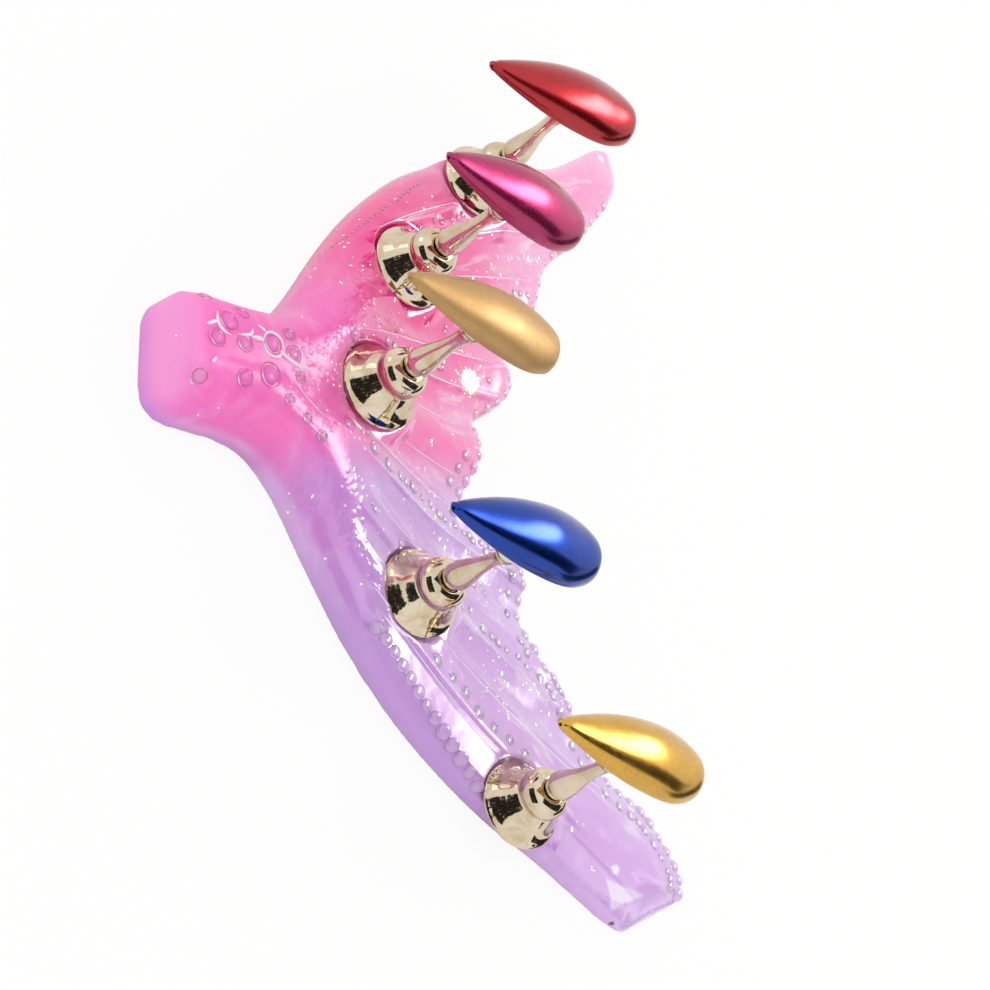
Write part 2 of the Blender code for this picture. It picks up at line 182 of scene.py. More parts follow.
# A value is a number, a colour (hex or three numbers), a vector or another node's output.
def setSocket(socket, value):
    if isinstance(value, str):
        value = fromHex(value)
    if isinstance(value, (int, float)):
        socket.default_value = value
    elif isinstance(value, tuple):
        socket.default_value = (*value, 1.0) if socket.type == "RGBA" else value
    else:
        socket.id_data.links.new(value, socket)


def setSockets(node, values):
    for name, value in values.items():
        setSocket(node.inputs[name], value)


def addNode(tree, kind, values=(), **settings):
    node = tree.nodes.new("ShaderNode" + kind)
    for name, setting in settings.items():
        setattr(node, name, setting)
    for socket, value in zip(node.inputs, values):
        setSocket(socket, value)
    return node


def newMaterial(name, roughness, metallic=0.0):
    material = bpy.data.materials.new(name)
    material.use_nodes = True
    tree = material.node_tree
    shader = tree.nodes["Principled BSDF"]
    setSockets(shader, {"Roughness": roughness, "Metallic": metallic})
    return material, tree, shader


def objectPlace(tree):
    return addNode(tree, "TexCoord").outputs["Object"]


def splitPlace(place):
    return addNode(place.id_data, "SeparateXYZ", (place,)).outputs


def addMath(operation, *values, clamp=False):
    tree = next(value.id_data for value in values if hasattr(value, "id_data"))
    return addNode(tree, "Math", values, operation=operation, use_clamp=clamp).outputs[0]


def plus(first, second):
    return addMath("ADD", first, second)


def times(first, second):
    return addMath("MULTIPLY", first, second)


def timesPlus(first, second, third):
    return addMath("MULTIPLY_ADD", first, second, third)


def larger(first, second):
    return addMath("MAXIMUM", first, second)


def mixColours(share, first, second):
    node = addNode(share.id_data, "Mix", data_type="RGBA", clamp_factor=True)
    for index, value in ((0, share), (6, first), (7, second)):
        setSocket(node.inputs[index], value)
    return node.outputs[2]


def smoothStep(value, low, high, fromValue=0.0, toValue=1.0):
    return addNode(value.id_data, "MapRange", (value, low, high, fromValue, toValue),
                   interpolation_type="SMOOTHSTEP").outputs[0]


# A smooth step between two places in mm.
def fade(value, low, high, fromValue=0.0, toValue=1.0):
    return smoothStep(value, low * mm, high * mm, fromValue, toValue)


# How far a place is from a centre in mm.
def distanceTo(place, centre):
    centre = tuple(value * mm for value in centre)
    return addNode(place.id_data, "VectorMath", (place, centre),
                   operation="DISTANCE").outputs["Value"]


def addNoise(place, scale, detail=2.0, roughness=0.5, distortion=0.0):
    node = addNode(place.id_data, "TexNoise")
    setSockets(node, {"Vector": place, "Scale": scale, "Detail": detail,
                      "Roughness": roughness, "Distortion": distortion})
    return node.outputs[0]


def addBump(shader, height, distance, strength):
    node = addNode(shader.id_data, "Bump")
    setSockets(node, {"Strength": strength, "Distance": distance, "Height": height})
    setSocket(shader.inputs["Normal"], node.outputs[0])
    return node.outputs[0]


# camera at the photograph's angle, roll and framing
cameraSet = {
    "azimuth": 32.0,
    "elevation": 41.0,
    "roll": 67.0,
    "distance": 480 * mm,
    "target": (3.3 * mm, 18.2 * mm, 0.0),
    "lens": 101.24,
    "sensor": 36.0,
}


def makeCamera(settings):
    azimuth = math.radians(settings["azimuth"])
    elevation = math.radians(settings["elevation"])
    roll = math.radians(settings["roll"])
    forward = Vector((-math.sin(azimuth) * math.cos(elevation),
                      math.cos(azimuth) * math.cos(elevation), -math.sin(elevation)))
    side = Vector((math.cos(azimuth), math.sin(azimuth), 0))
    up = side.cross(forward)
    right = side * math.cos(roll) + up * math.sin(roll)
    top = up * math.cos(roll) - side * math.sin(roll)
    bpy.ops.object.camera_add()
    camera = bpy.context.object
    turn = Matrix((right, top, -forward)).transposed().to_4x4()
    place = Vector(settings["target"]) - forward * settings["distance"]
    camera.matrix_world = Matrix.Translation(place) @ turn
    camera.data.lens = settings["lens"]
    camera.data.sensor_width = settings["sensor"]
    camera.data.clip_start = 10 * mm
    bpy.context.scene.camera = camera


deselectAll()
makeCamera(cameraSet)
print("camera set")


# tail: the solid's own form made fine and soft, then ribs, channels and lines in its top
tailSet = {
    "voxel": 0.37 * mm,
    "smoothing": 30,
    "rootBelow": -26 * mm,     # the root is smoothed further, up to this far along
    "shoulderSmoothing": 200,
    "end": (-54 * mm, -50 * mm),
    "endSmoothing": 14,        # less at its end, where a crease stays
    "tip": (70 * mm, 45 * mm),     # the end of the right fluke, softer and without relief
    "tipSoft": (7 * mm, 13 * mm),
    "tipPlain": (9 * mm, 20 * mm),
    "tipSmoothing": 70,
    "rootEnd": -58.97 * mm,
    "middle": -0.16 * mm,
    "halfSpan": 76 * mm,
    "fanFocus": 18 * mm,
    "fanBend": 1.75,
    "fadeStart": 15 * mm,      # beyond the focus, where the relief begins
    "fadeFull": 32 * mm,
    "seatRadius": 7.55 * mm,
    "seatFadeHigh": 8.1 * mm,  # where the top stands above the seat
    "seatFadeLow": 11.0 * mm,
    "seatDrop": 0.05 * mm,
    # a flat facet beside the leading edge of the right fluke, slope down to the edge
    "facet": (0.856, 0.955),
    "facetStart": -17 * mm,
    "facetSlope": -0.10,
    "cut": 0.12 * mm,
    # across the fan: share of the fan, height in mm
    "relief": [
        (0.000, 0.20), (0.045, 0.05), (0.130, -0.20), (0.180, 0.00), (0.200, 0.28),
        (0.220, -0.08), (0.250, -0.24), (0.280, -0.08), (0.300, 0.28), (0.322, 0.00),
        (0.385, -0.22), (0.450, 0.02), (0.470, 0.24), (0.490, -0.08), (0.515, -0.22),
        (0.540, -0.06), (0.560, 0.22), (0.582, 0.00), (0.630, -0.20), (0.665, 0.02),
        (0.680, 0.22), (0.693, 0.00), (0.706, 0.20), (0.724, -0.08), (0.760, -0.24),
        (0.795, -0.10), (0.820, 0.24), (0.842, 0.02), (0.870, 0.00), (0.950, 0.00),
        (0.975, 0.06), (1.010, 0.00), (1.400, 0.00),
    ],
}
stands = [joint for joint in frame["joints"] if joint["name"].startswith("bell_swivel")]
stands.sort(key=lambda joint: joint["name"])


def fanShare(x, y):
    beyond = np.maximum(0.3 * mm, y - tailSet["rootEnd"] - tailSet["fanFocus"])
    spread = (beyond / tailSet["halfSpan"]) ** (1 / tailSet["fanBend"])
    return (x - tailSet["middle"]) / tailSet["halfSpan"] / spread


def fanX(share, y):
    beyond = max(0.3 * mm, y - tailSet["rootEnd"] - tailSet["fanFocus"])
    spread = (beyond / tailSet["halfSpan"]) ** (1 / tailSet["fanBend"])
    return tailSet["middle"] + share * tailSet["halfSpan"] * spread


def ease(values, low, high):
    share = np.clip((values - low) / (high - low), 0, 1)
    return share * share * (3 - 2 * share)


def farFromTip(points):
    tipX, tipY = tailSet["tip"]
    return np.hypot(points[:, 0] - tipX, points[:, 1] - tipY)


# A smoothing that only works where the share given for each point is above zero.
def calmPart(piece, name, share, iterations):
    group = piece.vertex_groups.new(name=name)
    steps = 60
    for step in range(1, steps + 1):
        chosen = np.nonzero(np.round(share * steps) == step)[0].tolist()
        group.add(chosen, step / steps, "REPLACE")
    calm = piece.modifiers.new(name, "SMOOTH")
    calm.factor = 0.5
    calm.iterations = iterations
    calm.vertex_group = name


def makeTail():
    tail = copyPiece(frame["nodes"]["tail_base"], "tail_skin")
    makeActive(tail)
    editWhole()
    bpy.ops.mesh.remove_doubles(threshold=0.005 * mm)
    bpy.ops.object.mode_set(mode="OBJECT")
    remesh = tail.modifiers.new("fine", "REMESH")
    remesh.mode = "VOXEL"
    remesh.voxel_size = tailSet["voxel"]
    soft = tail.modifiers.new("soft", "SMOOTH")
    soft.factor = 0.5
    soft.iterations = tailSet["smoothing"]
    applyModifiers(tail)
    points = meshPoints(tail)
    above = ease(points[:, 2], 0.6 * mm, 1.6 * mm)
    root = above * (1 - ease(points[:, 1], tailSet["rootBelow"], tailSet["rootBelow"] + 10 * mm))
    end = 1 - ease(points[:, 1], *tailSet["end"])
    tip = 1 - ease(farFromTip(points), *tailSet["tipSoft"])
    calmPart(tail, "shoulder", root * (1 - end), tailSet["shoulderSmoothing"])
    calmPart(tail, "end", root * end, tailSet["endSmoothing"])
    calmPart(tail, "tip", above * tip, tailSet["tipSmoothing"])
    applyModifiers(tail)
    return tail


def shapeTail(tail):
    points = meshPoints(tail)
    normals = np.empty(len(points) * 3)
    tail.data.vertices.foreach_get("normal", normals)
    normals = normals.reshape(-1, 3)
    share = fanShare(points[:, 0], points[:, 1])
    beyond = points[:, 1] - tailSet["rootEnd"] - tailSet["fanFocus"]
    steps = np.array(throughPoints(tailSet["relief"], 6))
    relief = np.interp(np.abs(share), steps[:, 0], steps[:, 1]) * mm
    relief *= ease(beyond, tailSet["fadeStart"], tailSet["fadeFull"])
    relief *= ease(normals[:, 2], 0.35, 0.75)
    relief *= ease(farFromTip(points), *tailSet["tipPlain"])
    points[:, 2] += relief
    for stand in stands:        # flat seats, just under the bells
        seat, axis = np.array(stand["pos_m"]), np.array(stand["axis"])
        offset = points - seat
        height = offset @ axis
        distance = np.linalg.norm(offset - np.outer(height, axis), axis=1)
        full = np.where(height > 0, tailSet["seatFadeHigh"], tailSet["seatFadeLow"])
        near = 1 - ease(distance, tailSet["seatRadius"], full)
        top = (normals[:, 2] > 0.1) | ((distance < 4 * mm) & (points[:, 2] > 1.5 * mm))
        target = -tailSet["seatDrop"]
        move = np.where(top & (np.abs(height) < 4 * mm), near * (target - height), 0)
        points += np.outer(move, axis)
    points[:, 2] = np.maximum(points[:, 2], 0)
    setMeshPoints(tail, points)


# The facet is a plane across the fan that hangs from a line of the smooth surface.
def cutFacet(tail):
    smooth = BVHTree.FromObject(tail, bpy.context.evaluated_depsgraph_get())
    first, last = tailSet["facet"]
    points = meshPoints(tail)
    share = fanShare(points[:, 0], points[:, 1])
    near = ease(share, first - 0.004, first + 0.004) * (1 - ease(share, last, last + 0.03))
    near *= ease(points[:, 1], tailSet["facetStart"], tailSet["facetStart"] + 4 * mm)
    for index in np.nonzero((near > 0) & (points[:, 2] > 3.2 * mm))[0]:
        x, y, z = points[index]
        startX = fanX(first, y)
        hit = smooth.ray_cast(Vector((startX, y, 60 * mm)), Vector((0, 0, -1)))[0]
        if hit is None:
            continue
        target = hit.z - 0.12 * mm + tailSet["facetSlope"] * (x - startX)
        if abs(target - z) < 1.6 * mm:
            points[index, 2] = z + near[index] * (target - z)
    setMeshPoints(tail, points)


def flattenBottom(tail):
    makeActive(tail)
    bpy.ops.object.mode_set(mode="EDIT")
    bpy.ops.mesh.select_mode(type="FACE")
    bpy.ops.mesh.select_all(action="SELECT")
    bpy.ops.mesh.bisect(plane_co=(0, 0, tailSet["cut"]), plane_no=(0, 0, 1), clear_inner=True)
    bpy.ops.mesh.select_all(action="SELECT")
    bpy.ops.mesh.remove_doubles(threshold=0.02 * mm)
    bpy.ops.mesh.select_mode(type="EDGE")
    bpy.ops.mesh.select_all(action="DESELECT")
    bpy.ops.mesh.select_non_manifold(extend=False)
    bpy.ops.transform.resize(value=(1, 1, 0), center_override=(0, 0, 0))
    bpy.ops.mesh.edge_face_add()
    faceOutward()
    bpy.ops.object.shade_smooth_by_angle(angle=math.radians(60))


def mapTail(tail):
    points = meshPoints(tail)
    share = fanShare(points[:, 0], points[:, 1])
    along = (points[:, 1] - tailSet["rootEnd"]) / tailSet["halfSpan"]
    layer = tail.data.uv_layers[0] if tail.data.uv_layers else tail.data.uv_layers.new(name="fan")
    layer.name = "fan"
    corners = np.empty(len(tail.data.loops), dtype=np.int32)
    tail.data.loops.foreach_get("vertex_index", corners)
    values = np.column_stack((share[corners], along[corners]))
    layer.data.foreach_set("uv", values.ravel())


tail = makeTail()
cutFacet(tail)
shapeTail(tail)
flattenBottom(tail)
mapTail(tail)
surface = BVHTree.FromObject(tail, bpy.context.evaluated_depsgraph_get())
print("tail shaped,", len(tail.data.polygons), "faces")


# finishes

resinSet = {
    "pink": "ff72b8", "pinkDeep": "ff2c92", "pinkPale": "ffb8de", "pinkRoot": "ff9cdc",
    "pinkShoulder": "fd6ac0",
    "lilac": "d6a6e6", "lilacDeep": "a86ac8", "lilacPale": "e4ccf4", "lilacRoot": "d088d4",
    "violet": "cf86e6", "foil": "fffdea", "rays": "ffe68c", "sheenStreaks": "fff4fc",
    "milk": "fdf6ff", "pinholeShade": "54303e",
    # places and radii from here on are in mm
    "deepPlace": (-31, -9, 6),
    # where leaf flakes lie close together: place and radius
    "clusters": [
        ((-14, 8, 5), 7), ((37, 26, 4), 8), ((40, 13, 5), 8), ((-24, -17, 6), 8),
        ((-30, 14, 4), 8), ((12, -2, 6), 8), ((22, 10, 5), 7),
    ],
    # two sizes of flake: scale of the cells, chance above which a cell is one, stretch
    "flakesAndGlint": [(760, 0.965, (1.0, 1.6, 1.0)), (1500, 0.955, (1.5, 1.0, 1.0))],
    "foilBurstAndGlow": (-13.6, 8.2, 4.4),
    "pinhole": (74.7, 42.9, 1.3),
    # milky spots at the tips: place and radius
    "spots": [
        ((66.4, 41.1, 4), 1.3), ((66.8, 48.1, 3), 1.3), ((62.5, 55.8, 2), 1.2),
        ((54.2, 46.9, 3), 1.2), ((-72.8, 44.3, 3), 1.2), ((-70.3, 38.4, 4), 0.9),
        ((-70.4, 41.0, 4), 0.9), ((-66.8, 34.1, 4), 1.0),
    ],
    # a pale triangle at the end of the right fluke
    "paleCorners": [(68.0, 38.6), (69.1, 49.8), (73.4, 41.2)],
}


def makeResin(name, milk):
    material, tree, shader = newMaterial(name, 0.16)
    tone = resinSet
    place = objectPlace(tree)
    x, y, z = splitPlace(place)
    side = fanCoordinate(tree)
    fan = addMath("ABSOLUTE", side)
    wide = addNoise(place, 42, 3, 0.55, 0.6)
    cloud = addNoise(place, 110, 4, 0.6, 1.2)
    # where pink turns to lilac: low on the side of the root, then over to the fork
    border = fade(y, -38, -12, 15.5 * mm, 8.5 * mm)
    low = larger(addMath("SUBTRACT", 6.5 * mm, z), 0.0)
    wobble = timesPlus(wide, 9 * mm, -4.5 * mm)
    across = plus(addMath("SUBTRACT", x, border), wobble)
    lilacShare = fade(timesPlus(low, 0.85, across), -6, 6)
    # deep pink round the bells of the left fluke, paler towards the tips and thin edges; further
    # out in the fan the pink is paler still, as painted sheen
    deep = fade(distanceTo(place, tone["deepPlace"]), 30, 4)
    thin = fade(z, 5.6, 2.6)
    pale = addMath("MULTIPLY_ADD", thin, 0.45, times(smoothStep(cloud, 0.42, 0.72), 0.3),
                   clamp=True)
    behind = fade(y, -14, -30)
    pinkMix = mixColours(behind, tone["pink"], tone["pinkShoulder"])
    # painted sheen: the pink turns paler further out in the fan, for its soft white highlights
    pinkMix = mixColours(plus(pale, fade(y, 4, 22, 0.0, 0.35)), pinkMix, tone["pinkPale"])
    pinkMix = mixColours(deep, pinkMix, tone["pinkDeep"])
    pinkMix = mixColours(fade(y, -53, -59), pinkMix, tone["pinkRoot"])
    lilacMix = mixColours(behind, tone["lilac"], tone["lilacRoot"])
    lilacMix = mixColours(pale, lilacMix, tone["lilacPale"])
    lilacMix = mixColours(times(smoothStep(fan, 0.86, 1.02), 0.5), lilacMix, tone["lilacDeep"])
    colour = mixColours(lilacShare, pinkMix, lilacMix)
    # violet low on the end of the root
    violet = times(fade(z, 6, 1, 0.0, 0.4), fade(y, -52, -57))
    colour = mixColours(violet, colour, tone["violet"])
    colour, flakesAndGlint = addFlakes(place, colour, lilacShare, cloud, fan, y)
    foilBurstAndGlow, rays = addBurst(place, x, y)
    # painted shade: a dark spot where the inside of a pinhole would lie in shade
    pinholeShade = fade(distanceTo(place, tone["pinhole"]), 0.65, 0.4, 0.0, 0.9)
    # the white streaks mixed in below are painted sheen
    for share, layer in ((rays, "rays"), (foilBurstAndGlow, "foil"), (addPaintedSheen(side, fan, y), "sheenStreaks"),
                         (addMilk(place, x, y, milk), "milk"), (pinholeShade, "pinholeShade")):
        colour = mixColours(share, colour, tone[layer])
    # the shoulder and still more the root came duller out of the mould than the fan
    dull = plus(fade(y, -20, -32, 0.0, 0.5), fade(y, -36, -50, 0.0, 0.5))
    sway = addNoise(place, 75, 2, 0.5, 0.3)
    ripple = addNoise(place, 260, 3, 0.5, 0.4)
    height = timesPlus(flakesAndGlint, 0.25, timesPlus(sway, 0.7, times(ripple, 0.3)))
    height = plus(addDrops(place, fan, y), height)
    # the flakes and the foil leaf glow though they are no lamp: painted glint for their bright
    # reflections
    setSockets(shader, {
        "Base Color": colour, "Emission Color": (1.0, 0.98, 0.88),
        "Emission Strength": timesPlus(flakesAndGlint, 0.35, times(foilBurstAndGlow, 0.6)),
        "Subsurface Weight": 0.5, "Subsurface Radius": (1.0, 0.6, 0.9),
        "Subsurface Scale": 3 * mm, "IOR": 1.53, "Roughness": timesPlus(dull, 0.46, 0.14),
        "Coat Weight": timesPlus(dull, -0.8, 1.0), "Coat Roughness": 0.08,
        "Coat Normal": addBump(shader, height, 0.35 * mm, 0.5),
    })
    return material


# Thin strands and the crescents in the rings: the same resin painted near white, with a faint
# glow, as painted highlight for the glints on them.
def makePaintedGlintResin():
    material, tree, shader = newMaterial("resin_painted_glint", 0.12)
    place = objectPlace(tree)
    veins = addNoise(place, 400, 3, 0.6, 0.5)
    pinkish = mixColours(veins, "ffcce8", "fff8fd")
    bluish = mixColours(veins, "e4d0f8", "fcf8ff")
    setSockets(shader, {
        "Base Color": mixColours(fade(splitPlace(place)[0], 0, 9), pinkish, bluish),
        "Subsurface Weight": 0.3, "Subsurface Scale": 1 * mm, "Coat Weight": 1.0,
        "Coat Roughness": 0.03, "Emission Color": (1.0, 0.92, 0.98), "Emission Strength": 0.05,
    })
    addBump(shader, veins, 0.1 * mm, 0.4)
    return material


def fanCoordinate(tree):
    return splitPlace(addNode(tree, "UVMap", uv_map="fan").outputs[0])[0]


# A ragged leaf of foil close under the surface, with splinters of it all round; the leaf's mask
# also drives a painted glint.
def addBurst(place, x, y):
    far = distanceTo(place, resinSet["foilBurstAndGlow"])
    ragged = addNoise(place, 700, 4, 0.7, 0.6)
    reach = plus(far, timesPlus(ragged, 4.4 * mm, -2.2 * mm))
    burstX, burstY, burstZ = resinSet["foilBurstAndGlow"]
    angle = addMath("ARCTAN2", plus(y, -burstY * mm), plus(x, -burstX * mm))
    turned = addNode(place.id_data, "CombineXYZ", (angle,)).outputs[0]
    length = timesPlus(addNoise(turned, 2.2, 2, 0.6), 20 * mm, -8.0 * mm)
    rays = fade(addMath("SUBTRACT", far, length), 1.2, 0.0, 0.0, 0.7)
    return fade(reach, 2.5, 1.4), times(rays, smoothStep(ragged, 0.46, 0.58))


# Painted sheen: soft white streaks along both flukes, standing in for the glossy highlights
# there.
def addPaintedSheen(side, fan, y):
    flow = addNode(side.id_data, "CombineXYZ", (times(side, 15.0), times(y, 70.0)))
    veins = addNoise(flow.outputs[0], 1.0, 3, 0.55, 0.6)
    sheenStreak = times(smoothStep(veins, 0.56, 0.70, 0.0, 0.5), fade(y, -6, 8))
    return times(sheenStreak, smoothStep(fan, 0.90, 0.80))


# White cast into the resin: all over a bead, in spots and a triangle at the tips.
def addMilk(place, x, y, milk):
    total = milk
    for centre, radius in resinSet["spots"]:
        total = larger(fade(distanceTo(place, centre), radius, 0.4 * radius, 0.0, 0.8), total)
    corners = [Vector(corner) for corner in resinSet["paleCorners"]]
    inside = 0.6
    for index, start in enumerate(corners):
        end, other = corners[(index + 1) % 3], corners[(index + 2) % 3]
        across = (end - start).orthogonal().normalized()
        if across.dot(other - start) < 0:
            across = -across
        reach = timesPlus(y, across.y, timesPlus(x, across.x, -across.dot(start) * mm))
        inside = times(fade(reach, -0.2, 0.7), inside)
    return larger(total, inside)


# Fine drops stand close together over the shoulder and in patches of the fan.
def addDrops(place, fan, y):
    cells = addNode(place.id_data, "TexVoronoi", feature="SMOOTH_F1")
    setSockets(cells, {"Vector": place, "Scale": 820, "Smoothness": 0.25})
    drop = smoothStep(cells.outputs["Distance"], 0.55, 0.15)
    shoulder = times(fade(y, -14, -24), fade(y, -42, -34))
    low = timesPlus(shoulder, -0.22, 0.60)
    area = smoothStep(addNoise(place, 95, 2, 0.5, 0.4), low, plus(low, 0.07))
    area = times(area, smoothStep(fan, 0.86, 0.78))
    area = times(area, fade(y, -46, -38))
    return times(times(drop, area), 0.3)


# Bright leaf flakes in loose clusters, and tiny seed bubbles between them; their mask also drives
# a painted glint.
def addFlakes(place, colour, lilacShare, cloud, fan, y):
    tree = place.id_data
    cluster = total = 0.0
    for centre, radius in resinSet["clusters"]:
        cluster = larger(fade(distanceTo(place, centre), radius, 0.25 * radius), cluster)
    inside = times(smoothStep(fan, 0.97, 0.86), fade(y, -44, -30))
    gain = timesPlus(cluster, 0.13, timesPlus(inside, 0.03, -0.04))
    for size, amount, stretch in resinSet["flakesAndGlint"]:
        stretched = addNode(tree, "Mapping")
        setSockets(stretched, {"Vector": place, "Scale": stretch})
        cells = addNode(tree, "TexVoronoi")
        setSockets(cells, {"Vector": stretched.outputs[0], "Scale": size})
        chance = addNode(tree, "SeparateColor", (cells.outputs["Color"],)).outputs
        pick = plus(plus(chance[0], timesPlus(cloud, 0.22, -0.13)), gain)
        body = smoothStep(cells.outputs["Distance"], 0.42, 0.30)
        mask = times(addMath("GREATER_THAN", pick, amount), body)
        warm = mixColours(chance[1], "ffe9a0", "fff8f0")
        cool = mixColours(chance[1], "86f2f6", "ffe98c")
        tint = mixColours(lilacShare, warm, cool)
        tint = mixColours(addMath("GREATER_THAN", chance[2], 0.8), tint, "ffb87a")
        colour = mixColours(mask, colour, tint)
        total = larger(mask, total)
    return colour, total


def makePlating():
    material, tree, shader = newMaterial("champagne_plating", 0.07, 1.0)
    place = objectPlace(tree)
    stain = smoothStep(addNoise(place, 260, 4, 0.6, 0.8), 0.35, 0.7)
    polish = addNoise(place, 900, 3)
    setSockets(shader, {"Base Color": mixColours(stain, "e0d2ba", "cbb796"),
                        "Roughness": smoothStep(polish, 0.3, 0.8, 0.03, 0.10)})
    sway = addNoise(place, 220, 2, 0.5, 0.5)
    pits = addNoise(place, 1800, 2, 0.5)
    addBump(shader, timesPlus(pits, 0.05, sway), 0.25 * mm, 0.35)
    return material


def makeMagnetMetal():
    material, tree, shader = newMaterial("magnet_nickel", 0.25, 1.0)
    wear = addNoise(objectPlace(tree), 900, 4, 0.6)
    setSockets(shader, {"Base Color": mixColours(wear, "c9c9cc", "9c9a98"),
                        "Roughness": smoothStep(wear, 0.3, 0.7, 0.15, 0.4)})
    addBump(shader, wear, 0.03 * mm, 0.4)
    return material


def makePuttyGel():
    material, tree, shader = newMaterial("putty_gel", 0.32)
    mottle = addNoise(objectPlace(tree), 700, 4, 0.6, 0.5)
    setSockets(shader, {
        "Base Color": mixColours(mottle, "f6efe6", "dcd3cc"), "Subsurface Weight": 0.5,
        "Subsurface Radius": (1.0, 0.9, 0.8), "Subsurface Scale": 1.5 * mm, "Coat Weight": 0.4,
    })
    addBump(shader, mottle, 0.12 * mm, 0.6)
    return material


# lacquer of a nail tip: a metallic coat, fine flake in it and a clear gloss over it
lacquerSet = {
    "red": {"light": "b8222a", "dark": "861016", "roughness": 0.23, "grain": 0.3, "coat": 0.8},
    "magenta": {"light": "b83068", "dark": "861c46", "roughness": 0.26, "grain": 0.6,
                "coat": 0.7},
    "champagne": {"light": "c79f69", "dark": "a67e44", "roughness": 0.42, "grain": 2.0,
                  "coat": 0.15, "metal": 0.65},
    "blue": {"light": "1442a8", "dark": "0a2478", "roughness": 0.20, "grain": 0.25,
             "coat": 0.6},
    "gold": {"light": "deb24c", "dark": "b47c34", "roughness": 0.20, "grain": 0.25,
             "coat": 0.5},
}


def makeLacquer(colourName):
    settings = lacquerSet[colourName]
    roughness = settings["roughness"]
    material, tree, shader = newMaterial("lacquer_" + colourName, roughness,
                                         settings.get("metal", 1.0))
    place = objectPlace(tree)
    flake = addNode(tree, "TexVoronoi")
    setSockets(flake, {"Vector": place, "Scale": 5200})
    tone = addNode(tree, "SeparateColor", (flake.outputs["Color"],)).outputs
    soft = addNoise(place, 180, 3, 0.5, 0.3)
    share = addMath("MULTIPLY_ADD", tone[0], 0.35, timesPlus(soft, 0.5, -0.1), clamp=True)
    setSockets(shader, {
        "Base Color": mixColours(share, settings["light"], settings["dark"]),
        "Roughness": smoothStep(soft, 0.3, 0.7, roughness - 0.03, roughness + 0.03),
        "Coat Weight": settings["coat"], "Coat Roughness": 0.12,
    })
    addBump(shader, tone[1], 0.02 * mm, 0.2 + 0.3 * settings["grain"])
    return material


resin = makeResin("resin_pink_lilac", 0.0)
pearlResin = makeResin("resin_pearl", 0.10)
paintedGlintResin = makePaintedGlintResin()
plating = makePlating()
magnetMetal = makeMagnetMetal()
puttyGel = makePuttyGel()
lacquers = {name: makeLacquer(name) for name in lacquerSet}
dress(tail, resin, "tail", "resin", "tail_base")
print("finishes made")


# pearls: beads of the casting, half sunk in its surface, in rows that follow the fan
pearlSet = {
    "sides": 12,
    "rings": 8,
    "cutShare": -0.35,
    # side, first and last share of the fan, from and to beyond the root's end,
    # first and last radius, pitch
    "rows": [
        (1, 0.930, 0.985, 44, 70, 1.15, 1.35, 2.05), (1, 0.515, 0.515, 40, 92, 0.7, 1.15, 2.3),
        (1, 0.250, 0.250, 34, 76, 1.35, 0.90, 2.1), (1, 0.400, 0.400, 60, 90, 0.9, 1.1, 2.4),
        (-1, 0.840, 0.950, 34, 56, 0.34, 0.42, 2.9),
        (-1, 0.760, 0.760, 46, 88, 0.60, 0.85, 2.5), (-1, 0.515, 0.515, 44, 84, 0.7, 0.95, 2.4),
        (-1, 0.250, 0.250, 34, 74, 1.20, 0.80, 2.1), (-1, 0.380, 0.380, 58, 84, 0.8, 1.0, 2.4),
    ],
    "flat": 0.4,
    "looseUnder": 0.83,     # rows further in than this share of the fan are ragged
    "rowGaps": 0.25,
    "rowReach": 8.2 * mm,   # how near the middle of a bell a bead may stand
    "innerReach": 8.4 * mm,
    "edgeRadius": 1.40 * mm,
    "edgeLeft": 0.85,       # share of that size on the left fluke
    "edgePitch": 2.75 * mm,
    "edgeInset": 1.22 * mm,
    "edgeDrop": 1.10 * mm,
    "edgeSpan": (-64 * mm, 67.8 * mm),
    "innerRows": [(3.8, 0.95, 2.2)],     # inset, radius, pitch
}


def makePearl():
    deselectAll()
    bpy.ops.mesh.primitive_uv_sphere_add(segments=pearlSet["sides"], radius=1 * mm,
                                         ring_count=pearlSet["rings"])
    pearl = bpy.context.object
    editWhole()
    bpy.ops.mesh.bisect(plane_co=(0, 0, pearlSet["cutShare"] * mm), plane_no=(0, 0, 1),
                        clear_inner=True, use_fill=True)
    faceOutward()
    bpy.ops.object.shade_smooth_by_angle(angle=math.radians(50))
    return pearl


def groundAt(x, y):
    hit, normal = surface.ray_cast(Vector((x, y, 60 * mm)), Vector((0, 0, -1)))[:2]
    if hit is None or hit.z < 1 * mm:
        return None, None
    return hit, normal


def nearBell(x, y, reach):
    return any(math.hypot(x - stand["pos_m"][0], y - stand["pos_m"][1]) < reach
               for stand in stands)


def standOn(place, normal, radius, flat=1.0):
    turn = normal.to_track_quat("Z", "Y").to_matrix().to_4x4()
    size = Matrix.Diagonal((radius / mm, radius / mm, radius / mm * flat, 1))
    return Matrix.Translation(place) @ turn @ size


def addCopy(pieces, base, matrix):
    copied = copyPiece(base, base.name + "_copy")
    placeMesh(copied, matrix)
    pieces.append(copied)


def rowPlaces(side, firstShare, lastShare, start, end, first, last, pitch):
    places = []
    y = tailSet["rootEnd"] + start * mm
    limit = tailSet["rootEnd"] + end * mm
    while y < limit:
        done = (y - tailSet["rootEnd"] - start * mm) / ((end - start) * mm)
        radius = (first + (last - first) * done) * mm
        share = firstShare + (lastShare - firstShare) * done
        x = fanX(side * share, y)
        places.append((x, y, radius))
        ahead = fanX(side * share, y + 0.5 * mm)
        slope = math.hypot((ahead - x) / (0.5 * mm), 1)
        y += radius * pitch / slope
    return places


